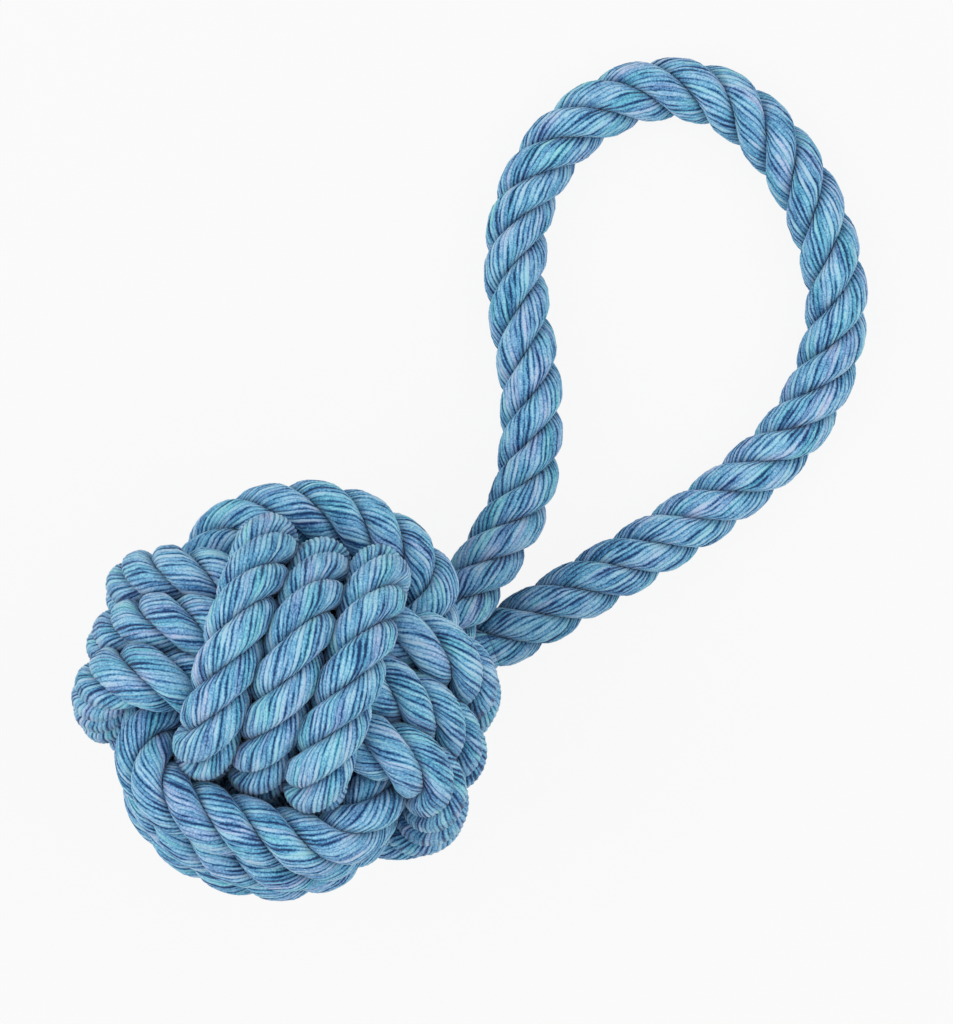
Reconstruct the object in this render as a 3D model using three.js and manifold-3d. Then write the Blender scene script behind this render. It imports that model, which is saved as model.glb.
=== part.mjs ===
// Rope tug toy for dogs: one thick three-strand cotton rope, tied into a ball with
// three bands of three turns (a monkey's fist) round a wound core, and left free in
// the middle as a loop handle. Both legs of the loop leave the ball side by side at
// one low corner, and the loop lies on the ground.
// Millimetres. +Z is up from the ground, +X runs from the ball to the far end of the
// loop, and the origin is on the ground, where the ball rests on one of its turns.
import * as THREE from 'three';
import { mergeVertices } from 'three/addons/utils/BufferGeometryUtils.js';
import Module from 'manifold-3d';

const wasm = await Module();
wasm.setup();

// Rope
const ROPE_WIDTH = 15;
const KNOT_ROPE_WIDTH = 13.2;
const REST_CUT = 1.2;
const SEAT_GAP = 0.3;

// Knot: its core, how far outside the core the turns' centrelines pass (a turn goes
// under one band and over the other), and how the turns lie beside each other
const CORE_WIDTH = 35;
const CORE_SQUASH_SHARE = 0.97;
const INNER_STANDOFF = 11;
const OUTER_STANDOFF = 28.1;
const INNER_REACH = CORE_WIDTH / 2 + INNER_STANDOFF;
const OUTER_REACH = CORE_WIDTH / 2 + OUTER_STANDOFF;
const INNER_DOME_SHARE = 0.3;
const OUTER_DOME_SHARE = 0.8;
const TURN_PITCH = 14.5;
const TURN_SPACING = 14.2;
const BALL_CENTRE_HEIGHT = 50.4;
const BALL_TURN_DEGREES = 30;
const BALL_LEAN_DEGREES = 14;

// Where the ball rests, measured from under its middle. The routes below are measured
// from under its middle too, and are moved to the origin at the end.
const REST_X = 5.5;
const REST_Y = -6.2;

// Handle: how far the loop reaches past its roots, and the free rope's route from the
// left leg to the right leg, on its centreline. Past the roots the route is drawn out or
// in along X until its far end is at that reach.
const HINGE_X = 61;
const HINGE_HEIGHT = 19;
const HANDLE_START_X = 70;
const HANDLE_REACH = 111.9;
const HANDLE_ROUTE = [
  [49.2, -13, 24.5],
  [54, -11.7, 23.6],
  [62, -9.6, 21.4],
  [70, -7.3, 18.8],
  [78, -3.2, 16.2],
  [87, 4.2, 13.3],
  [96.5, 14.5, 10.4],
  [105, 26.9, 8.2],
  [113.6, 37.9, 6.8],
  [124.8, 47, 6.1],
  [139.9, 52.5, 6],
  [155.1, 52, 6],
  [168.6, 46.5, 6],
  [178.9, 34.5, 6],
  [181.9, 20, 6],
  [180.1, 4.5, 6],
  [174.8, -10, 6],
  [165.6, -24.1, 6],
  [152.1, -34.2, 6],
  [136, -39.8, 6.1],
  [118, -40.4, 6.8],
  [101, -38.5, 8.3],
  [85, -35.4, 10.5],
  [70, -31.9, 13.3],
  [60, -29.9, 15.3],
  [50.5, -28.1, 17],
];

// Where the right leg points when it has passed under the ball's edge
const RIGHT_ENTRY = [40, -25.3, 18.5];

// Faces of the ball are numbered by quarter turns. A band's places are how far each of
// its crossings lies to the side of the band's middle, in turn pitches. It is drawn in
// by its outer shares ahead and behind, and by its inner shares above and below, and its
// loops are rounder or squarer ahead and behind. It spans that many quarter turns.
const FIRST_TURNS = {
  outer: 'right',
  inner: 'front',
  side: 'top',
  direction: -1,
  spanShares: [0, 11.35],
  placeShares: [1.1, 0.95, 1, 0.7, 0.25, -0.05, 0.12, -0.28, -0.65, -1, -0.65, -1, -0.8],
  outerShares: [0.99, 0.9],
  innerShares: [1, 1],
  roundnessShares: [3, 3],
};
const SECOND_TURNS = {
  outer: 'front',
  inner: 'top',
  side: 'right',
  direction: 1,
  spanShares: [-0.35, 10.3],
  placeShares: [1, 1, 1, 0.5, 0, 0, 0, -0.5, -1, -1, -1],
  outerShares: [1, 1],
  innerShares: [0.88, 0.74],
  roundnessShares: [3, 3],
};
const THIRD_TURNS = {
  outer: 'top',
  inner: 'right',
  side: 'front',
  direction: -1,
  spanShares: [-0.3, 10.15],
  placeShares: [1, 1.45, 1, 0.85, 0.1, 0.4, 0.05, -0.3, -0.8, -0.6, -1],
  outerShares: [1.05, 0.955],
  innerShares: [1, 1],
  roundnessShares: [1.9, 3.6],
};
const START_QUARTER = 3;

// Where the first turns pass into the second, and how straight they enter that corner
const BAND_SEAM = 0;
const FIRST_PART_SHARE = 2 / 3;
const CORNER_PULL = 9;

// Settling of the turns against each other, as the rope does when it is hauled tight
const SETTLE_POINT_STEP = 5;
const SETTLE_ROUNDS = 220;
const SETTLE_PUSH_SHARE = 0.8;
const SETTLE_TENSION_SHARE = 0.3;
const SETTLE_STIFFNESS_SHARE = 0.3;
const SETTLE_HOLD_SHARE = 0.06;
const NEAR_STIFFNESS_SHARE = 2 / 3;
const FAR_STIFFNESS_SHARE = 1 / 6;
const NEIGHBOUR_SHARE = 2.4;
const HELD_POINTS = 2;
const POINTS_PER_RING = 2;
const FORMULA_STEPS = 24;
const ROUTE_STEPS = 6;
const TURN_SIDES = 6;
const ROPE_SIDES = 10;
const HANDLE_STEPS = 36;
const ROOT_STEPS = 4;
const CORE_SIDES = 24;
const CORE_RINGS = 12;

const QUARTER = Math.PI / 2;
const ballCentre = new THREE.Vector3(0, 0, BALL_CENTRE_HEIGHT);

// Directions of the ball's own faces in the part's frame
function ballFaces() {
  const turn = THREE.MathUtils.degToRad(BALL_TURN_DEGREES);
  const lean = THREE.MathUtils.degToRad(BALL_LEAN_DEGREES);
  const up = new THREE.Vector3(0, 0, 1);
  const level = new THREE.Vector3(Math.cos(turn), Math.sin(turn), 0);
  const right = new THREE.Vector3(Math.sin(turn), -Math.cos(turn), 0);
  const top = level.clone().multiplyScalar(Math.cos(lean)).addScaledVector(up, -Math.sin(lean));
  const front = up.clone().multiplyScalar(Math.cos(lean)).addScaledVector(level, Math.sin(lean));
  return { top, right, front };
}
const faces = ballFaces();

function hermite(p0, p1, p2, p3, f) {
  const start = (p2 - p0) / 2;
  const end = (p3 - p1) / 2;
  const square = f * f;
  const cube = square * f;
  return (2 * cube - 3 * square + 1) * p1 + (cube - 2 * square + f) * start
    + (3 * square - 2 * cube) * p2 + (cube - square) * end;
}

function smoothShare(shares, place) {
  const last = shares.length - 1;
  const i = Math.min(Math.max(Math.floor(place), 0), last - 1);
  const before = i > 0 ? shares[i - 1] : 2 * shares[i] - shares[i + 1];
  const after = i + 2 <= last ? shares[i + 2] : 2 * shares[i + 1] - shares[i];
  return hermite(before, shares[i], shares[i + 1], after, place - i);
}

// A point of a band's centreline, after a number of quarter turns
function turnPoint(band, quarters) {
  const aside = TURN_PITCH * smoothShare(band.placeShares, quarters);
  const angle = (START_QUARTER + band.direction * quarters) * QUARTER;
  const c = Math.cos(angle);
  const s = Math.sin(angle);
  const behind = c < 0 ? 1 : 0;
  const below = s < 0 ? 1 : 0;
  const outer = band.outerShares[behind] * Math.sqrt(OUTER_REACH ** 2 - OUTER_DOME_SHARE * aside ** 2);
  const inner = band.innerShares[below] * Math.sqrt(INNER_REACH ** 2 - INNER_DOME_SHARE * aside ** 2);
  const power = band.roundnessShares[behind];
  const reach = (Math.abs(c / outer) ** power + Math.abs(s / inner) ** power) ** (-1 / power);
  return ballCentre.clone()
    .addScaledVector(faces[band.outer], reach * c)
    .addScaledVector(faces[band.inner], reach * s)
    .addScaledVector(faces[band.side], aside);
}

function turnLine(band) {
  const [start, end] = band.spanShares;
  const count = Math.round((end - start) * FORMULA_STEPS);
  const points = [];
  for (let i = 0; i <= count; i += 1) {
    points.push(turnPoint(band, start + (end - start) * i / count));
  }
  return points;
}

// The rope's turn round a corner of the ball, from the end of one line to another's start
function cornerLine(before, after) {
  const from = before[before.length - 1];
  const to = after[0];
  const leave = from.clone().sub(before[before.length - 2]).setLength(CORNER_PULL);
  const arrive = after[1].clone().sub(to).setLength(CORNER_PULL);
  const bend = new THREE.CubicBezierCurve3(from, from.clone().add(leave), to.clone().sub(arrive), to);
  return bend.getPoints(FORMULA_STEPS).slice(1, -1);
}

function lineLength(points) {
  let length = 0;
  for (let i = 1; i < points.length; i += 1) length += points[i].distanceTo(points[i - 1]);
  return length;
}

// The same line with its points at equal steps
function evenLine(points, step) {
  const total = lineLength(points);
  const count = Math.round(total / step);
  const even = [points[0].clone()];
  let passed = 0;
  let i = 1;
  for (let k = 1; k < count; k += 1) {
    const wanted = total * k / count;
    let piece = points[i].distanceTo(points[i - 1]);
    while (passed + piece < wanted) {
      passed += piece;
      i += 1;
      piece = points[i].distanceTo(points[i - 1]);
    }
    even.push(points[i - 1].clone().lerp(points[i], (wanted - passed) / piece));
  }
  even.push(points[points.length - 1].clone());
  return even;
}

// The turns are pushed apart to their spacing, held off the core and the ground, and
// pulled smooth, until they lie against each other
function settle(lines) {
  const points = lines.flat();
  const start = points.map((p) => p.clone());
  const line = lines.flatMap((l, k) => l.map(() => k));
  const place = lines.flatMap((l) => l.map((p, k) => k));
  const length = lines.flatMap((l) => l.map(() => l.length));
  const count = points.length;
  const apart = NEIGHBOUR_SHARE * TURN_SPACING / SETTLE_POINT_STEP;
  const lowest = KNOT_ROPE_WIDTH / 2 - REST_CUT;
  const nearest = (CORE_WIDTH + TURN_SPACING) / 2;
  const away = new THREE.Vector3();
  for (let round = 0; round < SETTLE_ROUNDS; round += 1) {
    const ease = 1 - round / SETTLE_ROUNDS;
    const push = points.map(() => new THREE.Vector3());
    const hits = new Array(count).fill(0);
    for (let i = 0; i < count; i += 1) {
      for (let j = i + 1; j < count; j += 1) {
        if (line[i] === line[j] && j - i <= apart) continue;
        const distance = points[i].distanceTo(points[j]);
        if (distance >= TURN_SPACING) continue;
        away.subVectors(points[i], points[j]).multiplyScalar((TURN_SPACING - distance) / distance);
        push[i].add(away);
        push[j].sub(away);
        hits[i] += 1;
        hits[j] += 1;
      }
    }
    const moved = points.map((p, i) => {
      const share = SETTLE_PUSH_SHARE / Math.max(hits[i], 1);
      return p.clone().addScaledVector(push[i], share);
    });
    const next = moved.map((p, i) => {
      const k = place[i];
      const end = length[i] - 1;
      const held = (line[i] === 0 && k < HELD_POINTS) || (line[i] === 1 && k > end - HELD_POINTS);
      if (held) return start[i].clone();
      const q = p.clone();
      if (k > 0 && k < end) {
        const middle = moved[i - 1].clone().add(moved[i + 1]).multiplyScalar(1 / 2).sub(p);
        q.addScaledVector(middle, SETTLE_TENSION_SHARE * ease);
      }
      if (k > 1 && k < end - 1) {
        const near = moved[i - 1].clone().add(moved[i + 1]).multiplyScalar(NEAR_STIFFNESS_SHARE);
        const far = moved[i - 2].clone().add(moved[i + 2]).multiplyScalar(FAR_STIFFNESS_SHARE);
        q.addScaledVector(near.sub(far).sub(p), SETTLE_STIFFNESS_SHARE);
      }
      q.addScaledVector(start[i].clone().sub(p), SETTLE_HOLD_SHARE * ease);
      const out = q.clone().sub(ballCentre);
      if (out.length() < nearest) q.copy(out.setLength(nearest).add(ballCentre));
      q.z = Math.max(q.z, lowest);
      return q;
    });
    next.forEach((p, i) => points[i].copy(p));
  }
  return lines.map((l, k) => points.filter((p, i) => line[i] === k));
}

// Solids and meshes
function meshGeometry(positions, indices) {
  const geometry = new THREE.BufferGeometry();
  geometry.setAttribute('position', new THREE.Float32BufferAttribute(positions, 3));
  geometry.setIndex(indices);
  return geometry;
}

function toSolid(geometry) {
  const bare = geometry.clone();
  bare.deleteAttribute('normal');
  bare.deleteAttribute('uv');
  const merged = mergeVertices(bare);
  return new wasm.Manifold(new wasm.Mesh({
    numProp: 3,
    vertProperties: Float32Array.from(merged.getAttribute('position').array),
    triVerts: Uint32Array.from(merged.getIndex().array),
  }));
}

function toGeometry(solid) {
  const mesh = solid.getMesh();
  const geometry = meshGeometry(mesh.vertProperties, Array.from(mesh.triVerts));
  geometry.computeVertexNormals();
  return geometry;
}

// What lies below the ground is cut away, which leaves the flat that the piece rests on
function cutAtGround(geometry) {
  geometry.computeBoundingBox();
  const size = geometry.boundingBox.getSize(new THREE.Vector3());
  const middle = geometry.boundingBox.getCenter(new THREE.Vector3());
  const reach = 2 * size.length();
  const block = new THREE.BoxGeometry(reach, reach, reach);
  block.translate(middle.x, middle.y, -reach / 2);
  return toGeometry(toSolid(geometry).subtract(toSolid(block)));
}

// The turns of one band: a tube with six sides along part of the settled line, with a
// corner out and a corner in. Its ends are square to the rope and drawn back a little.
function turnTube(points, from, to, startBack, endBack) {
  const positions = [];
  const indices = [];
  const half = KNOT_ROPE_WIDTH / 2;
  const steps = Math.round((to - from) / POINTS_PER_RING);
  for (let i = 0; i <= steps; i += 1) {
    const at = Math.round(from + (to - from) * i / steps);
    const along = directionAt(points, at);
    const point = points[at].clone();
    if (i === 0) point.addScaledVector(along, startBack);
    if (i === steps) point.addScaledVector(along, -endBack);
    const out = point.clone().sub(ballCentre);
    out.addScaledVector(along, -out.dot(along)).normalize();
    const aside = along.clone().cross(out);
    for (let k = 0; k < TURN_SIDES; k += 1) {
      const angle = 2 * Math.PI * k / TURN_SIDES;
      const corner = point.clone()
        .addScaledVector(out, half * Math.cos(angle))
        .addScaledVector(aside, half * Math.sin(angle));
      positions.push(corner.x, corner.y, corner.z);
    }
  }
  for (let i = 0; i < steps; i += 1) {
    for (let k = 0; k < TURN_SIDES; k += 1) {
      const a = i * TURN_SIDES + k;
      const b = i * TURN_SIDES + (k + 1) % TURN_SIDES;
      indices.push(a, b, a + TURN_SIDES, b, b + TURN_SIDES, a + TURN_SIDES);
    }
  }
  const last = steps * TURN_SIDES;
  for (let k = 1; k + 1 < TURN_SIDES; k += 1) {
    indices.push(0, k + 1, k);
    indices.push(last, last + k, last + k + 1);
  }
  return meshGeometry(positions, indices);
}

// Free rope: a round section drawn along a smooth route
function ropeTube(points, steps) {
  const section = new THREE.Shape();
  for (let k = 0; k < ROPE_SIDES; k += 1) {
    const angle = 2 * Math.PI * (k + 1 / 2) / ROPE_SIDES;
    const x = ROPE_WIDTH / 2 * Math.cos(angle);
    const y = ROPE_WIDTH / 2 * Math.sin(angle);
    if (k === 0) section.moveTo(x, y);
    else section.lineTo(x, y);
  }
  section.closePath();
  const path = new THREE.CatmullRomCurve3(points, false, 'centripetal');
  return new THREE.ExtrudeGeometry(section, { steps, bevelEnabled: false, extrudePath: path });
}

// The rope's direction at a point of a line, between its neighbours
function directionAt(points, i) {
  const ahead = points[Math.min(i + 1, points.length - 1)];
  const behind = points[Math.max(i - 1, 0)];
  return ahead.clone().sub(behind).normalize();
}

// A stretch with both ends straight and square, and drawn back by half a gap
function squaredStretch(points, startDirection, endDirection) {
  const start = points[0];
  const end = points[points.length - 1];
  const straight = ROPE_WIDTH / 2;
  const between = points.filter((p) => p.distanceTo(start) > ROPE_WIDTH && p.distanceTo(end) > ROPE_WIDTH);
  return [
    start.clone().addScaledVector(startDirection, SEAT_GAP / 2),
    start.clone().addScaledVector(startDirection, straight),
    ...between,
    end.clone().addScaledVector(endDirection, -straight),
    end.clone().addScaledVector(endDirection, -SEAT_GAP / 2),
  ];
}

function nearestIndex(points, target) {
  let best = 0;
  points.forEach((p, i) => {
    if (p.distanceTo(target) < points[best].distanceTo(target)) best = i;
  });
  return best;
}

// Least gap of a tube to its own other turns, measured between its corners
function leastGap(geometry, name) {
  const position = geometry.getAttribute('position');
  const rings = position.count / TURN_SIDES;
  const a = new THREE.Vector3();
  const b = new THREE.Vector3();
  const apart = Math.ceil(NEIGHBOUR_SHARE * TURN_SPACING / (SETTLE_POINT_STEP * POINTS_PER_RING));
  let least = Infinity;
  for (let i = 0; i < rings * TURN_SIDES; i += 1) {
    a.fromBufferAttribute(position, i);
    for (let j = i + apart * TURN_SIDES; j < rings * TURN_SIDES; j += 1) {
      if (Math.floor(j / TURN_SIDES) - Math.floor(i / TURN_SIDES) < apart) continue;
      b.fromBufferAttribute(position, j);
      least = Math.min(least, a.distanceTo(b));
    }
  }
  console.log(`${name}: least gap to itself ${least.toFixed(2)} mm`);
}

function drawnRoute() {
  const farthest = Math.max(...HANDLE_ROUTE.map((p) => p[0]));
  const stretch = HANDLE_REACH / (farthest - HANDLE_START_X);
  return HANDLE_ROUTE.map(([x, y, z]) => {
    const past = Math.max(x - HANDLE_START_X, 0);
    return new THREE.Vector3(x - past + past * stretch, y, z);
  });
}

// The rope's two halves, from the handle's legs into the ball
const route = drawnRoute();
const handleCurve = new THREE.CatmullRomCurve3(route, false, 'centripetal');
const handleLine = handleCurve.getSpacedPoints(route.length * ROUTE_STEPS);
const betweenLegs = (route[0].y + route[route.length - 1].y) / 2;
const leftLeg = handleLine.filter((p) => p.x < HANDLE_START_X && p.y > betweenLegs);
const rightLeg = handleLine.filter((p) => p.x < HANDLE_START_X && p.y <= betweenLegs);
const entry = new THREE.Vector3(...RIGHT_ENTRY);
const firstLine = turnLine(FIRST_TURNS);
const secondLine = turnLine(SECOND_TURNS);
const thirdLine = turnLine(THIRD_TURNS);
const corner = cornerLine(firstLine, secondLine);
const [rightHalf, leftHalf] = settle([
  evenLine([...rightLeg, entry, ...firstLine, ...corner, ...secondLine], SETTLE_POINT_STEP),
  evenLine([...thirdLine, ...leftLeg], SETTLE_POINT_STEP),
]);

const rightMouth = nearestIndex(rightHalf, route[route.length - 1]);
const afterSecond = Math.floor(rightHalf.length * FIRST_PART_SHARE);
const bandSeam = nearestIndex(rightHalf.slice(0, afterSecond), turnPoint(SECOND_TURNS, BAND_SEAM));
const leftMouth = nearestIndex(leftHalf, route[0]);

function material(color, roughness) {
  return new THREE.MeshStandardMaterial({ color, roughness, metalness: 0 });
}

const toy = new THREE.Group();
const ball = new THREE.Group();
ball.position.set(-REST_X, -REST_Y, ballCentre.z);
toy.add(ball);
const handle = new THREE.Group();
handle.position.set(HINGE_X - REST_X, -REST_Y, HINGE_HEIGHT);
toy.add(handle);

function place(group, name, geometry, finish) {
  geometry.translate(-REST_X - group.position.x, -REST_Y - group.position.y, -group.position.z);
  const mesh = new THREE.Mesh(geometry, finish);
  mesh.name = name;
  group.add(mesh);
}

// Core: scrap cotton wound into a ball, which the turns are tied round
function coreGeometry() {
  const radius = CORE_WIDTH / 2;
  const profile = [];
  for (let i = 0; i <= CORE_RINGS; i += 1) {
    const angle = Math.PI * i / CORE_RINGS - QUARTER;
    const x = i === 0 || i === CORE_RINGS ? 0 : radius * Math.cos(angle);
    profile.push(new THREE.Vector2(x, radius * CORE_SQUASH_SHARE * Math.sin(angle)));
  }
  const geometry = new THREE.LatheGeometry(profile, CORE_SIDES);
  geometry.rotateX(QUARTER);
  geometry.translate(ballCentre.x, ballCentre.y, ballCentre.z);
  return toGeometry(toSolid(geometry));
}
place(ball, 'core', coreGeometry(), material(0xd8d2c4, 0.95));

function placeTurns(name, points, from, to, startBack, endBack, color) {
  const tube = turnTube(points, from, to, startBack, endBack);
  leastGap(tube, name);
  place(ball, name, cutAtGround(tube), material(color, 0.9));
}
const half = SEAT_GAP / 2;
placeTurns('first_turns', rightHalf, rightMouth, bandSeam, half, half, 0x6fa8c8);
placeTurns('second_turns', rightHalf, bandSeam, rightHalf.length - 1, half, 0, 0x6fb4c4);
placeTurns('third_turns', leftHalf, 0, leftMouth, 0, half, 0x6a9cc4);

// Roots: the short stretches that bend when the handle is lifted
function placeRoot(name, line, mouthDirection, seamDirection) {
  const stretch = squaredStretch(line, mouthDirection, seamDirection);
  place(ball, name, ropeTube(stretch, ROOT_STEPS), material(0x5f98bc, 0.9));
}
const leftSeam = handleLine.indexOf(leftLeg[leftLeg.length - 1]);
const rightSeam = handleLine.indexOf(rightLeg[0]);
const leftOnward = directionAt(handleLine, leftSeam);
const rightOnward = directionAt(handleLine, rightSeam).negate();
placeRoot('left_root', leftHalf.slice(leftMouth), directionAt(leftHalf, leftMouth), leftOnward);
placeRoot('right_root', rightHalf.slice(0, rightMouth + 1).reverse(),
  directionAt(rightHalf, rightMouth).negate(), rightOnward);

// Handle: the free loop between the two legs
const bowLine = handleLine.slice(leftSeam, rightSeam + 1);
const bow = squaredStretch(bowLine, leftOnward, rightOnward.clone().negate());
place(handle, 'handle', cutAtGround(ropeTube(bow, HANDLE_STEPS)), material(0x6fa8c8, 0.9));

export default toy;
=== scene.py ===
import math
import bpy
import numpy as np
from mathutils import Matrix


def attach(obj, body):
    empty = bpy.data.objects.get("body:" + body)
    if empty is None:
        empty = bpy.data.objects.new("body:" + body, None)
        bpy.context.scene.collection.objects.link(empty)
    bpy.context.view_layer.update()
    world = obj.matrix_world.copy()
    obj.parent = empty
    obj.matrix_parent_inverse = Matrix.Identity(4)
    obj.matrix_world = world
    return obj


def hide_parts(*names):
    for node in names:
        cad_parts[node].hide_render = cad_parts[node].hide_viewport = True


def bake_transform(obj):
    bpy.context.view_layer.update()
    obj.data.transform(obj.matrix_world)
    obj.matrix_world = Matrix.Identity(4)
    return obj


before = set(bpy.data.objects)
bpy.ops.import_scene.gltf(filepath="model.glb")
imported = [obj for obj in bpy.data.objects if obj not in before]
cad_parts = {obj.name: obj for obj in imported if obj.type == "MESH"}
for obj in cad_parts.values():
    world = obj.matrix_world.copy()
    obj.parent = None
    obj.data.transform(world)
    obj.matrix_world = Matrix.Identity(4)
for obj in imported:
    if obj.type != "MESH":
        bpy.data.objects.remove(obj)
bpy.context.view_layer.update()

bpy.ops.object.select_all(action="DESELECT")

# Camera: the toy is photographed from straight above on a plain white ground. The
# picture's frame is 238 x 256 mm at the loop, and its up direction points between
# the toy's +X and +Y, so that the loop lies to the upper right of the ball.
PICTURE_MIDDLE = (0.0588, 0.0062)
PICTURE_HEIGHT = 0.256
PICTURE_TURN = -43.5
CAMERA_DISTANCE = 1.9
LOOP_HEIGHT = 0.006
camera_data = bpy.data.cameras.new("camera")
camera = bpy.data.objects.new("camera", camera_data)
bpy.context.scene.collection.objects.link(camera)
camera_data.sensor_width = 36
camera_data.lens = camera_data.sensor_width * CAMERA_DISTANCE / PICTURE_HEIGHT
camera_data.clip_end = 10
camera.location = (PICTURE_MIDDLE[0], PICTURE_MIDDLE[1], CAMERA_DISTANCE + LOOP_HEIGHT)
camera.rotation_euler = (0, 0, math.radians(PICTURE_TURN))
bpy.context.scene.camera = camera


# The rope's way, in millimetres from under the ball: one uncut rope lies on the ground as
# a loop, and its halves go into the ball as three bands of three turns (a monkey's fist)
# round a core. Each band is a formula, and its turns are then settled against each other.
HANDLE_WAY = [
    (49.2, -13, 24.5), (54, -11.7, 23.6), (62, -9.6, 21.4), (70, -7.3, 18.8),
    (78, -3.2, 16.2), (87, 4.2, 13.3), (96.5, 14.5, 10.4), (105, 26.9, 8.2),
    (113.6, 37.9, 6.8), (124.8, 47, 6.1), (139.9, 52.5, 6), (155.1, 52, 6),
    (168.6, 46.5, 6), (178.9, 34.5, 6), (181.9, 20, 6), (180.1, 4.5, 6),
    (174.8, -10, 6), (165.6, -24.1, 6), (152.1, -34.2, 6), (136, -39.8, 6.1),
    (118, -40.4, 6.8), (101, -38.5, 8.3), (85, -35.4, 10.5), (70, -31.9, 13.3),
    (60, -29.9, 15.3), (50.5, -28.1, 17),
]
RIGHT_ENTRY = (40, -25.3, 18.5)
LEG_END_X = 70
BALL_HEIGHT = 50.4
BALL_TURN = math.radians(30)
BALL_LEAN = math.radians(14)
OUTER_REACH = 45.6
INNER_REACH = 28.5
TURN_PITCH = 14.5
TURN_SPACING = 14.2
CORE_WIDTH = 35
REST_POINT = np.array([5.5, -6.2, 0])
POINT_STEP = 5
LOWEST_LINE = 5.4
OUTER_DOME = 0.8
INNER_DOME = 0.3
QUARTER_STEPS = 24
CORNER_PULL = 9
SETTLE_ROUNDS = 220
NEIGHBOUR_SHARE = 2.4
PUSH_SHARE = 0.8
TENSION_SHARE = 0.3
STIFFNESS_SHARE = 0.3
HOLD_SHARE = 0.06
HELD_POINTS = 2
LOOP_FINE_STEPS = 200
LOOP_STEPS = 6
BOW_STEP = 2

ball_middle = np.array([0, 0, BALL_HEIGHT])
level = np.array([math.cos(BALL_TURN), math.sin(BALL_TURN), 0])
ball_right = np.array([math.sin(BALL_TURN), -math.cos(BALL_TURN), 0])
ball_top = level * math.cos(BALL_LEAN) + np.array([0, 0, -math.sin(BALL_LEAN)])
ball_front = level * math.sin(BALL_LEAN) + np.array([0, 0, math.cos(BALL_LEAN)])
first_band = dict(
    outer=ball_right, inner=ball_front, side=ball_top, direction=-1,
    wide=(0.99, 0.9), deep=(1, 1), roundness=(3, 3),
    places=[1.1, 0.95, 1.0, 0.7, 0.25, -0.05, 0.12, -0.28, -0.65, -1.0, -0.65, -1.0, -0.8],
    span=(0, 11.35))
second_band = dict(
    outer=ball_front, inner=ball_top, side=ball_right, direction=1,
    wide=(1, 1), deep=(0.88, 0.74), roundness=(3, 3),
    places=[1, 1, 1, 0.5, 0, 0, 0, -0.5, -1, -1, -1],
    span=(-0.35, 10.3))
third_band = dict(
    outer=ball_top, inner=ball_right, side=ball_front, direction=-1,
    wide=(1.05, 0.955), deep=(1, 1), roundness=(1.9, 3.6),
    places=[1, 1.45, 1, 0.85, 0.1, 0.4, 0.05, -0.3, -0.8, -0.6, -1],
    span=(-0.3, 10.15))


def smooth_place(places, quarters):
    """How far aside the rope lies, in turns, between the places of two quarters."""
    last = len(places) - 1
    i = min(max(math.floor(quarters), 0), last - 1)
    before = places[i - 1] if i > 0 else 2 * places[i] - places[i + 1]
    after = places[i + 2] if i + 2 <= last else 2 * places[i + 1] - places[i]
    f = quarters - i
    rise, fall = (places[i + 1] - before) / 2, (after - places[i]) / 2
    return ((2 * f**3 - 3 * f**2 + 1) * places[i] + (f**3 - 2 * f**2 + f) * rise
            + (3 * f**2 - 2 * f**3) * places[i + 1] + (f**3 - f**2) * fall)


def band_point(band, quarters):
    """The rope's middle in a band, that many quarter turns from where the band begins."""
    aside = TURN_PITCH * smooth_place(band["places"], quarters)
    angle = (3 + band["direction"] * quarters) * math.pi / 2
    c, s = math.cos(angle), math.sin(angle)
    outer = math.sqrt(OUTER_REACH**2 - OUTER_DOME * aside**2) * band["wide"][c < 0]
    inner = math.sqrt(INNER_REACH**2 - INNER_DOME * aside**2) * band["deep"][s < 0]
    power = band["roundness"][c < 0]
    reach = (abs(c / outer) ** power + abs(s / inner) ** power) ** (-1 / power)
    return (ball_middle + reach * c * band["outer"] + reach * s * band["inner"]
            + aside * band["side"])


def band_line(band):
    start, end = band["span"]
    count = round((end - start) * QUARTER_STEPS)
    return [band_point(band, start + (end - start) * i / count) for i in range(count + 1)]


def corner_line(before, after):
    """The rope's way round a corner of the ball, from one band into the next."""
    leave = before[-1] - before[-2]
    arrive = after[1] - after[0]
    p0, p3 = before[-1], after[0]
    p1 = p0 + leave * CORNER_PULL / np.linalg.norm(leave)
    p2 = p3 - arrive * CORNER_PULL / np.linalg.norm(arrive)
    return [(1 - t)**3 * p0 + 3 * t * (1 - t)**2 * p1 + 3 * t**2 * (1 - t) * p2 + t**3 * p3
            for t in (i / QUARTER_STEPS for i in range(1, QUARTER_STEPS))]


def even_line(points, count=None, step=None):
    """The same line with its points evenly apart."""
    points = np.array(points)
    along = np.concatenate([[0], np.cumsum(np.linalg.norm(np.diff(points, axis=0), axis=1))])
    count = count or round(along[-1] / step)
    wanted = np.linspace(0, along[-1], count + 1)
    return np.stack([np.interp(wanted, along, points[:, k]) for k in range(3)], axis=1)


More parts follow.
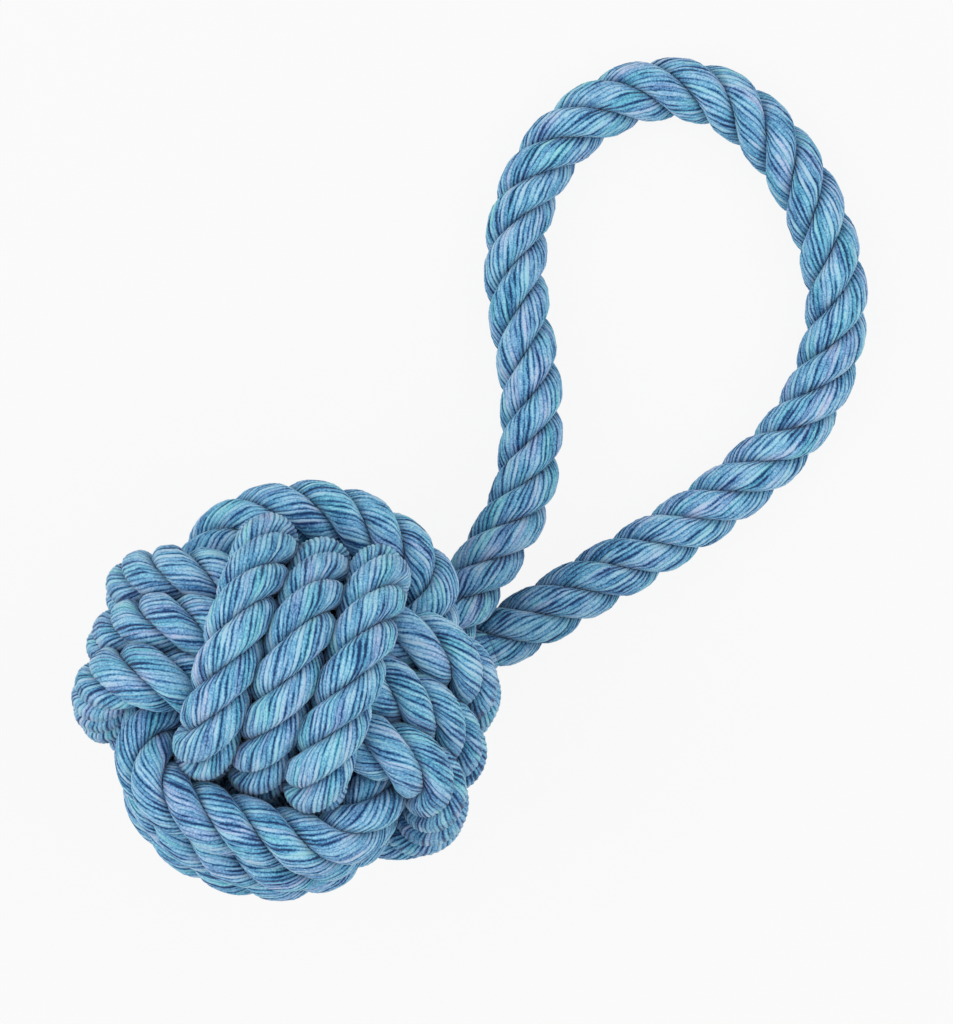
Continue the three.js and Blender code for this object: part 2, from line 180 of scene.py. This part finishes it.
def smooth_curve(points, fine):
    """A smooth curve through the points, with that many steps from one to the next."""
    points = np.array(points, float)
    points = np.vstack([2 * points[0] - points[1], points, 2 * points[-1] - points[-2]])
    out = []
    for i in range(1, len(points) - 2):
        p = points[i - 1:i + 3]
        d = np.sqrt(np.linalg.norm(np.diff(p, axis=0), axis=1))
        t1 = (p[1] - p[0]) / d[0] - (p[2] - p[0]) / (d[0] + d[1]) + (p[2] - p[1]) / d[1]
        t2 = (p[2] - p[1]) / d[1] - (p[3] - p[1]) / (d[1] + d[2]) + (p[3] - p[2]) / d[2]
        t1, t2 = t1 * d[1], t2 * d[1]
        for k in range(fine):
            f = k / fine
            out.append((2 * f**3 - 3 * f**2 + 1) * p[1] + (f**3 - 2 * f**2 + f) * t1
                       + (3 * f**2 - 2 * f**3) * p[2] + (f**3 - f**2) * t2)
    out.append(points[-2])
    return np.array(out)


def settle_turns(lines):
    """Pushes the turns apart to their spacing, off the core and the ground, and smooths them."""
    points = np.vstack(lines)
    start = points.copy()
    line = np.concatenate([np.full(len(l), k) for k, l in enumerate(lines)])
    place = np.concatenate([np.arange(len(l)) for l in lines])
    length = np.concatenate([np.full(len(l), len(l)) for l in lines])
    number = np.arange(len(points))
    beside = NEIGHBOUR_SHARE * TURN_SPACING / POINT_STEP
    near = (line[:, None] == line[None, :]) & (abs(number[:, None] - number[None, :]) <= beside)
    last = length - 1
    held = ((line == 0) & (place < HELD_POINTS)) | ((line == 1) & (place > last - HELD_POINTS))
    between = np.nonzero((place > 0) & (place < last))[0]
    well_between = np.nonzero((place > 1) & (place < last - 1))[0]
    for settle_round in range(SETTLE_ROUNDS):
        ease = 1 - settle_round / SETTLE_ROUNDS
        apart = points[:, None, :] - points[None, :, :]
        distance = np.linalg.norm(apart, axis=2)
        touching = (distance < TURN_SPACING) & ~near
        share = np.where(touching, (TURN_SPACING - distance) / np.maximum(distance, 1e-9), 0)
        push = (apart * share[:, :, None]).sum(axis=1)
        moved = points + push * (PUSH_SHARE / np.maximum(touching.sum(axis=1), 1))[:, None]
        settled = moved.copy()
        i = between
        settled[i] += ((moved[i - 1] + moved[i + 1]) / 2 - moved[i]) * TENSION_SHARE * ease
        i = well_between
        wide = (moved[i - 1] + moved[i + 1]) * 4 / 6 - (moved[i - 2] + moved[i + 2]) / 6
        settled[i] += (wide - moved[i]) * STIFFNESS_SHARE
        settled += (start - moved) * HOLD_SHARE * ease
        out = settled - ball_middle
        far = np.linalg.norm(out, axis=1)
        least = (CORE_WIDTH + TURN_SPACING) / 2
        lifted = ball_middle + out * (least / far)[:, None]
        settled = np.where((far < least)[:, None], lifted, settled)
        settled[:, 2] = np.maximum(settled[:, 2], LOWEST_LINE)
        points = np.where(held[:, None], start, settled)
    return [points[line == k] for k in range(len(lines))]


loop_line = even_line(smooth_curve(HANDLE_WAY, LOOP_FINE_STEPS),
                      count=len(HANDLE_WAY) * LOOP_STEPS)
split_y = (HANDLE_WAY[0][1] + HANDLE_WAY[-1][1]) / 2
leg = loop_line[:, 0] < LEG_END_X
left_leg = loop_line[leg & (loop_line[:, 1] > split_y)]
right_leg = loop_line[leg & (loop_line[:, 1] <= split_y)]
first_line, second_line, third_line = map(band_line, (first_band, second_band, third_band))
ball_corner = corner_line(first_line, second_line)
right_half, left_half = settle_turns([
    even_line([*right_leg, RIGHT_ENTRY, *first_line, *ball_corner, *second_line],
              step=POINT_STEP),
    even_line([*third_line, *left_leg], step=POINT_STEP),
])
bow_line = loop_line[~leg][::BOW_STEP]
way = np.vstack([left_half, bow_line, right_half])
left_mouth = np.argmin(np.linalg.norm(left_half - HANDLE_WAY[0], axis=1))
right_mouth = (len(left_half) + len(bow_line)
               + np.argmin(np.linalg.norm(right_half - HANDLE_WAY[-1], axis=1)))
first_part = len(right_half) * 2 // 3
seam_at = band_point(second_band, 0)
band_seam = (len(left_half) + len(bow_line)
             + np.argmin(np.linalg.norm(right_half[:first_part] - seam_at, axis=1)))

# Rings of the rope: square to its way, and turned along with it without a twist
RING_STEP = 1.1
FINE_STEPS = 8
fine_way = smooth_curve(way, FINE_STEPS)
fine_along = np.concatenate([[0], np.cumsum(np.linalg.norm(np.diff(fine_way, axis=0), axis=1))])
left_mouth_at, right_mouth_at, band_seam_at = (
    fine_along[FINE_STEPS * np.array([left_mouth, right_mouth, band_seam])])
rings = even_line(fine_way, step=RING_STEP)
ring_along = np.linspace(0, fine_along[-1], len(rings))
ring_to = np.gradient(rings, axis=0)
ring_to /= np.linalg.norm(ring_to, axis=1)[:, None]
ring_side = np.zeros_like(rings)
side = np.cross(ring_to[0], (0, 0, 1))
for i in range(len(rings)):
    side = side - ring_to[i] * side.dot(ring_to[i])
    side /= np.linalg.norm(side)
    ring_side[i] = side
ring_up = np.cross(ring_to, ring_side)


# Cotton yarn: soft spun singles, dyed in light blue, aqua, lilac and navy. The finish is
# drawn along each yarn of the rope's own UV map: U runs along the rope, V round its
# three strands, one yarn after the other.
YARNS_IN_STRAND = 22
ROPE_LENGTH = fine_along[-1] / 1000

# Noises: steps a yarn, waves a metre, the slice taken and its detail
DYE_PATCH = (0.24, 50.0, 0.0, 1.0)
DYE_LINE = (5.7, 60.0, 12.0, 0.0)
PALE_YARN = (3.7, 90.0, 7.0, 1.0)
NAP = (2.4, 800.0, 9.0, 3.0)
SPECK = (3.0, 2400.0, 19.0, 1.0)
CLOSED_GROOVE = (5.13, 110.0, 4.0, 1.0)
# Fibres: waves a yarn and a metre across them, then waves a metre along, steps a yarn, detail
FIBRE_SLANT = (2.6, 420.0)
FIBRE = (130.0, 3.7, 2.0)


def yarn_group():
    """Shades and shapes yarns that lie side by side: Across counts them, Along is in metres."""
    group = bpy.data.node_groups.new("spun_yarn", "ShaderNodeTree")
    for name, way_in in (("Across", "INPUT"), ("Along", "INPUT"), ("Shade", "OUTPUT"),
                         ("Hue", "OUTPUT"), ("Height", "OUTPUT")):
        group.interface.new_socket(name=name, in_out=way_in, socket_type="NodeSocketFloat")
    nodes, links = group.nodes, group.links
    come = nodes.new("NodeGroupInput")
    go = nodes.new("NodeGroupOutput")

    def put(socket, value):
        if isinstance(value, (int, float)):
            socket.default_value = value
        else:
            links.new(value, socket)

    def work(operation, *values):
        node = nodes.new("ShaderNodeMath")
        node.operation = operation
        for socket, value in zip(node.inputs, values):
            put(socket, value)
        return node.outputs[0]

    def spread(value, low, high, to_low, to_high):
        node = nodes.new("ShaderNodeMapRange")
        for socket, number in zip(node.inputs, (value, low, high, to_low, to_high)):
            put(socket, number)
        return node.outputs[0]

    def noise(x, y, z, detail):
        place = nodes.new("ShaderNodeCombineXYZ")
        for socket, value in zip(place.inputs, (x, y, z)):
            put(socket, value)
        node = nodes.new("ShaderNodeTexNoise")
        node.inputs["Scale"].default_value = 1
        node.inputs["Detail"].default_value = detail
        links.new(place.outputs[0], node.inputs["Vector"])
        return node.outputs[0]

    def white_noise(value):
        node = nodes.new("ShaderNodeTexWhiteNoise")
        node.noise_dimensions = "1D"
        links.new(value, node.inputs["W"])
        return node.outputs["Value"]

    across, along = come.outputs["Across"], come.outputs["Along"]

    def yarn_noise(counted, a_yarn, a_metre, slice_at, detail):
        return noise(work("MULTIPLY", counted, a_yarn), work("MULTIPLY", along, a_metre),
                     slice_at, detail)

    number = work("FLOOR", across)
    groove = work("ROUND", across)
    # Hue: the dye is laid on in patches, a few yarns wide and a few centimetres long, and
    # each yarn takes it up in its own way
    own = white_noise(number)
    patch = yarn_noise(number, *DYE_PATCH)
    line = yarn_noise(groove, *DYE_LINE)
    hue = work("ADD", spread(patch, 0.34, 0.66, 0.0, 0.7), spread(line, 0.3, 0.7, -0.1, 0.4))
    links.new(hue, go.inputs["Hue"])
    # Shade: each yarn is paler or darker than its neighbours for a few centimetres, and
    # loose fibres wind round it at a low angle
    pale = yarn_noise(number, *PALE_YARN)
    slant = work("ADD", work("MULTIPLY", across, FIBRE_SLANT[0]),
                 work("MULTIPLY", along, FIBRE_SLANT[1]))
    fibre = noise(slant, work("MULTIPLY", along, FIBRE[0]), work("MULTIPLY", number, FIBRE[1]),
                  FIBRE[2])
    nap = yarn_noise(across, *NAP)
    speck = yarn_noise(across, *SPECK)
    fibre = work("ADD", work("MULTIPLY", fibre, 0.45), work("MULTIPLY", nap, 0.55))
    shade = work("ADD", spread(pale, 0.3, 0.7, 0.34, 0.96), work("MULTIPLY", own, 0.2))
    shade = work("ADD", shade, spread(fibre, 0.4, 0.6, -0.15, 0.15))
    shade = work("ADD", shade, spread(speck, 0.35, 0.65, -0.17, 0.17))
    # Section: a yarn is round, so it falls away to both of its edges. The groove there
    # is painted darker as shade, deeply where it lies open and hardly where loose fibres close it.
    middle = work("ABSOLUTE", work("SUBTRACT", work("FRACT", across), 0.5))
    fall = work("MULTIPLY", middle, 2.0)
    closed = yarn_noise(groove, *CLOSED_GROOVE)
    open_share = work("ADD", closed, work("MULTIPLY", white_noise(groove), 0.3))
    start = spread(open_share, 0.5, 0.85, 0.75, -0.1)
    painted_groove_shade = work("MULTIPLY", spread(fall, start, 1.0, 0.0, 1.0),
                spread(open_share, 0.5, 0.75, 0.2, 0.8))
    # The yarn's shade goes out with the painted groove shade taken off it
    links.new(work("SUBTRACT", shade, painted_groove_shade), go.inputs["Shade"])
    height = work("SUBTRACT", work("MULTIPLY", fibre, 0.7), work("POWER", fall, 2.6))
    links.new(height, go.inputs["Height"])
    return group


spun_yarn = yarn_group()


def colour_ramp(nodes, stops):
    """A ramp with a colour at each of the places."""
    ramp = nodes.new("ShaderNodeValToRGB")
    while len(ramp.color_ramp.elements) < len(stops):
        ramp.color_ramp.elements.new(0.5)
    for stop, (place, colour) in zip(ramp.color_ramp.elements, stops):
        stop.position = place
        stop.color = (*colour, 1)
    return ramp


def cotton_finish(name, shades, hues, painted_shade_tints, across, along, bump):
    """Matt cotton: across counts yarns over V, and along is metres over U. The shades go from
    the darkest dye to the palest, the hues tint them, and the painted shade tints darken them."""
    material = bpy.data.materials.new(name)
    material.use_nodes = True
    nodes, links = material.node_tree.nodes, material.node_tree.links
    bsdf = nodes["Principled BSDF"]
    uv = nodes.new("ShaderNodeUVMap")
    uv.uv_map = "lay"
    split = nodes.new("ShaderNodeSeparateXYZ")
    links.new(uv.outputs[0], split.inputs[0])
    yarn = nodes.new("ShaderNodeGroup")
    yarn.node_tree = spun_yarn
    for socket, source, scale in (("Across", 1, across), ("Along", 0, along)):
        times = nodes.new("ShaderNodeMath")
        times.operation = "MULTIPLY"
        times.inputs[1].default_value = scale
        links.new(split.outputs[source], times.inputs[0])
        links.new(times.outputs[0], yarn.inputs[socket])
    # Painted shade: an attribute, 1 in the open and towards 0 deep between the strands and
    # between the turns, paints the colour darker and bluer there, as shade whose light has gone
    # from blue to blue
    painted_shade = nodes.new("ShaderNodeAttribute")
    painted_shade.attribute_name = "painted_shade"
    colour = None
    for value, stops in ((yarn.outputs["Shade"], shades), (yarn.outputs["Hue"], hues),
                         (painted_shade.outputs["Fac"], painted_shade_tints)):
        ramp = colour_ramp(nodes, stops)
        links.new(value, ramp.inputs[0])
        if colour is None:
            colour = ramp.outputs["Color"]
            continue
        product = nodes.new("ShaderNodeVectorMath")
        product.operation = "MULTIPLY"
        links.new(colour, product.inputs[0])
        links.new(ramp.outputs["Color"], product.inputs[1])
        colour = product.outputs[0]
    links.new(colour, bsdf.inputs["Base Color"])
    bump_node = nodes.new("ShaderNodeBump")
    bump_node.inputs["Distance"].default_value = bump
    bump_node.inputs["Strength"].default_value = 0.7
    links.new(yarn.outputs["Height"], bump_node.inputs["Height"])
    links.new(bump_node.outputs[0], bsdf.inputs["Normal"])
    bsdf.inputs["Roughness"].default_value = 0.92
    bsdf.inputs["Specular IOR Level"].default_value = 0.2
    bsdf.inputs["Sheen Weight"].default_value = 0.3
    bsdf.inputs["Sheen Roughness"].default_value = 0.5
    return material


def srgb(code):
    """A colour as it is seen on a screen, in the light that Blender works with."""
    values = [int(code[i:i + 2], 16) / 255 for i in (0, 2, 4)]
    return tuple(v / 12.92 if v <= 0.04045 else ((v + 0.055) / 1.055) ** 2.4 for v in values)


# Dyed cotton. Its last ramp is painted shade: dark navy deep in the valleys and crevices, white in
# the open.
dyed_cotton = cotton_finish("dyed_cotton", [
    (0.00, srgb("1c3e6e")), (0.25, srgb("4076a8")), (0.50, srgb("70abd6")), (0.75, srgb("98ccec")),
    (1.00, srgb("c6e4f6")),
], [
    (0.0, (1.02, 0.85, 0.96)), (0.3, (0.86, 0.91, 0.97)), (0.5, (0.78, 0.93, 0.97)),
    (0.75, (0.72, 0.96, 0.96)), (1.0, (0.62, 1.0, 0.91)),
], [
    (0.0, (0.03, 0.12, 0.22)), (1.0, (1.0, 1.0, 1.0)),
], 3 * YARNS_IN_STRAND, ROPE_LENGTH, 0.0004)


# Loop handle: the free middle of the rope. Three strands of twisted yarn are laid up to
# the right. The strands press flat against each other inside, and bulge outside.
LAY_LENGTH = 34.5
STRAND_MIDDLE = 3.95
STRAND_DEEP = 3.8
STRAND_WIDE = 4.6
STRAND_FULLNESS = 0.05
YARN_RIDGE = 0.26
YARN_CORNERS = (0, 0.5)
# Painted shade: how far and how darkly the colour is darkened in the valleys between strands and
# the crevices between turns
VALLEY = (5.4, 6.8)
VALLEY_LIGHT = 0.65
CREVICE = (6.8, 9.8)
CREVICE_LIGHT = 0.2
OTHER_TURN = 20
SEARCH_REACH = 2 * CREVICE[1] + 6
STRAND_HALF_ANGLE = math.radians(59.4)
STRAND_FROM_MIDDLE = 0.25
YARN_WIDTHS = (0.8, 1.2)
YARN_SWELLS = ((0.03, 0.09, 0.04), (0.25, 0.5, 0.05))
RIDGE_SHARES = (0.5, 1.5)
LOOP_YARN_TURN = -0.305
BALL_YARN_TURN = -0.34
# Painted shade on the legs by the ball: how dark it is, and how far into and out of the ball it
# reaches
MOUTH_LIGHT = 0.7
SHADE_INSIDE = 20
SHADE_OUTSIDE = 45

# The yarns turn round their strand against its lay, a little more tightly in the ball
rates = (0, BALL_YARN_TURN, LOOP_YARN_TURN, BALL_YARN_TURN)
changes = (0, left_mouth_at, right_mouth_at, fine_along[-1])
turned = np.cumsum(np.multiply(rates, np.diff(changes, prepend=0)))
yarn_turn = np.interp(ring_along, changes, turned)
# Painted shade: the ball shades both legs where they leave it, and this shade is painted into
# their colour
leg_light = np.interp(
    ring_along,
    (left_mouth_at - SHADE_INSIDE, left_mouth_at, left_mouth_at + SHADE_OUTSIDE,
     right_mouth_at - SHADE_OUTSIDE, right_mouth_at, right_mouth_at + SHADE_INSIDE),
    (1, MOUTH_LIGHT, 1, 1, MOUTH_LIGHT, 1))


def lay_rope(name, start_at, end_at):
    """The rope's stretch between two lengths along it, as three closed strands."""
    rings_a_millimetre = (len(rings) - 1) / fine_along[-1]
    pick = np.arange(round(start_at * rings_a_millimetre), round(end_at * rings_a_millimetre) + 1)
    around = len(YARN_CORNERS) * YARNS_IN_STRAND
    corner = np.tile(YARN_CORNERS, YARNS_IN_STRAND)
    yarn = np.repeat(np.arange(YARNS_IN_STRAND), len(YARN_CORNERS))
    across = np.append((yarn + corner) / YARNS_IN_STRAND, 1)
    vertices, faces, uvs, painted_shade = [], [], [], []
    for strand in range(3):
        spin = 2 * math.pi * (ring_along[pick] / LAY_LENGTH + strand / 3)
        # Yarns are thicker and thinner in turn, each at its own pace
        dice = np.random.default_rng(strand)
        width = dice.uniform(*YARN_WIDTHS, YARNS_IN_STRAND)
        for slow, fast, swell in YARN_SWELLS:
            pace = dice.uniform(slow, fast, YARNS_IN_STRAND)
            phase = dice.uniform(0, 2 * math.pi, YARNS_IN_STRAND)
            width = width + swell * np.sin(ring_along[pick][:, None] * pace + phase)
        edges = np.hstack([np.zeros((len(pick), 1)), np.cumsum(width, axis=1)])
        edges /= edges[:, -1:]
        turn = edges[:, yarn] + (edges[:, yarn + 1] - edges[:, yarn]) * corner
        angle = 2 * math.pi * turn + yarn_turn[pick][:, None]
        ridge_share = dice.uniform(*RIDGE_SHARES, (len(pick), YARNS_IN_STRAND))
        ridge = np.where(corner == 0, -YARN_RIDGE / 2, YARN_RIDGE / 2) * ridge_share[:, yarn]
        c, s = np.cos(angle), np.sin(angle)
        full = 1 + STRAND_FULLNESS * (2 * s * c) ** 2
        out = STRAND_MIDDLE + (STRAND_DEEP * full + ridge) * c
        aside = (STRAND_WIDE * full + ridge) * s
        # A strand stays in its third of the rope
        out = np.maximum(out, STRAND_FROM_MIDDLE)
        room = out * math.tan(STRAND_HALF_ANGLE)
        aside = np.clip(aside, -room, room)
        c, s = np.cos(spin)[:, None], np.sin(spin)[:, None]
        x, y = out * c - aside * s, out * s + aside * c
        place = (rings[pick][:, None, :] + x[:, :, None] * ring_side[pick][:, None, :]
                 + y[:, :, None] * ring_up[pick][:, None, :])
        base = len(vertices)
        vertices.extend(place.reshape(-1, 3))
        # Painted shade: the colour is darkened in the valleys between strands, and in the crevices
        # between turns
        light = np.interp(np.hypot(out, aside), VALLEY, (VALLEY_LIGHT, 1))
        light *= leg_light[pick][:, None]
        for i, ring in enumerate(pick):
            near = np.linalg.norm(rings - rings[ring], axis=1) < SEARCH_REACH
            others = rings[near & (abs(ring_along - ring_along[ring]) > OTHER_TURN)]
            if len(others):
                apart = np.linalg.norm(place[i][:, None, :] - others[None, :, :], axis=2)
                light[i] *= np.interp(apart.min(axis=1), CREVICE, (CREVICE_LIGHT, 1))
        painted_shade.extend(light.ravel())
        count = len(pick)
        u = ring_along[pick] / fine_along[-1]
        for i in range(count - 1):
            for k in range(around):
                n = (k + 1) % around
                faces.append((base + i * around + k, base + i * around + n,
                              base + (i + 1) * around + n, base + (i + 1) * around + k))
                v0, v1 = (strand + across[k]) / 3, (strand + across[k + 1]) / 3
                uvs.extend(((u[i], v0), (u[i], v1), (u[i + 1], v1), (u[i + 1], v0)))
        faces.append(tuple(base + k for k in reversed(range(around))))
        uvs.extend([(u[0], strand / 3)] * around)
        faces.append(tuple(base + (count - 1) * around + k for k in range(around)))
        uvs.extend([(u[-1], strand / 3)] * around)
    vertices = (np.array(vertices) - REST_POINT) / 1000
    vertices[:, 2] = np.maximum(vertices[:, 2], 0.0)
    mesh = bpy.data.meshes.new(name)
    mesh.from_pydata(vertices.tolist(), [], faces)
    layer = mesh.uv_layers.new(name="lay")
    layer.data.foreach_set("uv", np.array(uvs, dtype=np.float32).ravel())
    mesh.attributes.new("painted_shade", "FLOAT", "POINT").data.foreach_set("value", painted_shade)
    mesh.shade_smooth()
    mesh.materials.append(dyed_cotton)
    piece = bpy.data.objects.new(name, mesh)
    bpy.context.scene.collection.objects.link(piece)
    return piece


# The drawn pieces change a little inside the ball, where the rope doesn't bend
MOUTH_DEPTH = 6
left_seam_at, right_seam_at = left_mouth_at - MOUTH_DEPTH, right_mouth_at + MOUTH_DEPTH
loop_handle = lay_rope("loop_handle", left_seam_at, right_seam_at)
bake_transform(loop_handle)
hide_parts("handle", "left_root", "right_root")


# First turns: the right leg of the loop goes into the ball, and the same rope wraps round
# the ball's left and right sides. Each turn goes over one band and under the other.
first_turns = lay_rope("first_band", right_seam_at, band_seam_at)
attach(first_turns, "ball")
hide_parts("first_turns")

# Second turns: the same end, after a corner at the lower back, goes over the front and
# under the ball, and makes the middle patch. Its end is tucked under the third turns.
second_turns = lay_rope("second_band", band_seam_at, fine_along[-1])
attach(second_turns, "ball")
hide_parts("second_turns")

# Third turns: the left leg of the loop goes round the ball's top and bottom, over the
# ends of the patch. Its end is tucked under the first turns.
third_turns = lay_rope("third_band", 0, left_seam_at)
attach(third_turns, "ball")
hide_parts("third_turns")


# Core: undyed scrap cotton, wound up into a ball before the knot is tied round it. It
# hardly shows between the turns.
CORE_TURNS = 26
CORE_TURN_STEPS = 36
CORE_YARN = 2.6
CORE_SIDES = 8
CORE_TILT = 2.4
CORE_TUMBLE = 1.7
core_steps = CORE_TURNS * CORE_TURN_STEPS
t = np.arange(core_steps + 1) / CORE_TURN_STEPS
wind = 2 * math.pi * t
tilt, tumble = t * CORE_TILT, t * CORE_TUMBLE
radius = (CORE_WIDTH - CORE_YARN) / 2
plane_a = np.stack([np.cos(tilt), np.sin(tilt), 0 * t], axis=1)
plane_b = np.stack([-np.sin(tilt) * np.cos(tumble), np.cos(tilt) * np.cos(tumble),
                    np.sin(tumble)], axis=1)
core_way = radius * (plane_a * np.cos(wind)[:, None] + plane_b * np.sin(wind)[:, None])
core_way *= radius / np.linalg.norm(core_way, axis=1)[:, None]
core_to = np.gradient(core_way, axis=0)
core_to /= np.linalg.norm(core_to, axis=1)[:, None]
core_out = core_way / radius
core_side = np.cross(core_to, core_out)
core_vertices, core_faces, core_uvs = [], [], []
for k in range(CORE_SIDES):
    a = 2 * math.pi * k / CORE_SIDES
    core_vertices.append(
        core_way + CORE_YARN / 2 * (math.cos(a) * core_side + math.sin(a) * core_out))
core_vertices = np.stack(core_vertices, axis=1).reshape(-1, 3)
core_vertices = (core_vertices + ball_middle - REST_POINT) / 1000
for i in range(core_steps):
    u0, u1 = t[i] / CORE_TURNS, t[i + 1] / CORE_TURNS
    here, there = i * CORE_SIDES, (i + 1) * CORE_SIDES
    for k in range(CORE_SIDES):
        n = (k + 1) % CORE_SIDES
        v0, v1 = k / CORE_SIDES, (k + 1) / CORE_SIDES
        core_faces.append((here + k, there + k, there + n, here + n))
        core_uvs.extend(((u0, v0), (u1, v0), (u1, v1), (u0, v1)))
core_faces.append(tuple(range(CORE_SIDES)))
core_faces.append(tuple(core_steps * CORE_SIDES + k for k in reversed(range(CORE_SIDES))))
core_uvs.extend([(0, 0)] * CORE_SIDES + [(1, 0)] * CORE_SIDES)
core_mesh = bpy.data.meshes.new("wound_core")
core_mesh.from_pydata(core_vertices.tolist(), [], core_faces)
core_layer = core_mesh.uv_layers.new(name="lay")
core_layer.data.foreach_set("uv", np.array(core_uvs, dtype=np.float32).ravel())
# The core gets no painted shade: its attribute for painted shade is 1 everywhere, and that tint is
# white
core_painted_shade = core_mesh.attributes.new("painted_shade", "FLOAT", "POINT")
core_painted_shade.data.foreach_set("value", np.ones(len(core_vertices)))
core_mesh.shade_smooth()
wound_core = bpy.data.objects.new("wound_core", core_mesh)
bpy.context.scene.collection.objects.link(wound_core)
core_mesh.materials.append(cotton_finish("scrap_cotton", [
    (0.0, srgb("8f8776")), (0.5, srgb("c9c1ae")), (1.0, srgb("e0dacb")),
], [(0.0, (1.0, 1.0, 1.0))], [(0.0, (1.0, 1.0, 1.0))], 6, 3.0, 0.0003))
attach(wound_core, "ball")
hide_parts("core")


# Ground and light: a white ground without an edge, under a white tent, with a soft lamp
# on either side of the picture
GROUND_WIDTH = 6
GROUND_BELOW = 0.0005
GROUND_SHADE = 0.6
SEEN_WHITE = 0.9
TENT_STRENGTH = 0.75
SOFTBOX_WIDTH = 0.9
bpy.ops.mesh.primitive_plane_add(size=GROUND_WIDTH, location=(0, 0, -GROUND_BELOW))
ground = bpy.context.object
ground.name = "ground"
ground_finish = bpy.data.materials.new("white_ground")
ground_finish.use_nodes = True
ground_nodes, ground_links = ground_finish.node_tree.nodes, ground_finish.node_tree.links
ground_bsdf = ground_nodes["Principled BSDF"]
ground_bsdf.inputs["Base Color"].default_value = (GROUND_SHADE, GROUND_SHADE, GROUND_SHADE, 1)
ground_bsdf.inputs["Roughness"].default_value = 1
seen = ground_nodes.new("ShaderNodeLightPath")
seen_share = ground_nodes.new("ShaderNodeMath")
seen_share.operation = "MULTIPLY"
seen_share.inputs[1].default_value = SEEN_WHITE
white = ground_nodes.new("ShaderNodeEmission")
white.inputs["Color"].default_value = (1, 1, 1, 1)
paper = ground_nodes.new("ShaderNodeMixShader")
ground_links.new(seen.outputs["Is Camera Ray"], seen_share.inputs[0])
ground_links.new(seen_share.outputs[0], paper.inputs[0])
ground_links.new(ground_bsdf.outputs[0], paper.inputs[1])
ground_links.new(white.outputs[0], paper.inputs[2])
ground_links.new(paper.outputs[0], ground_nodes["Material Output"].inputs["Surface"])
ground.data.materials.append(ground_finish)

sky = bpy.data.worlds.new("sky")
bpy.context.scene.world = sky
sky.use_nodes = True
tent = sky.node_tree.nodes["Background"]
tent.inputs["Color"].default_value = (1, 1, 1, 1)
tent.inputs["Strength"].default_value = TENT_STRENGTH

for lamp_name, lamp_place, watts in (("left_softbox", (-0.62, 0.62, 0.9), 3.6),
                                     ("right_softbox", (0.68, -0.62, 0.9), 2.4)):
    lamp_data = bpy.data.lights.new(lamp_name, "AREA")
    lamp_data.shape = "DISK"
    lamp_data.size = SOFTBOX_WIDTH
    lamp_data.energy = watts
    lamp = bpy.data.objects.new(lamp_name, lamp_data)
    bpy.context.scene.collection.objects.link(lamp)
    lamp.location = lamp_place
    lamp.rotation_mode = "QUATERNION"
    lamp.rotation_quaternion = lamp.location.to_track_quat("Z", "Y")
bpy.context.scene.view_settings.view_transform = "Standard"
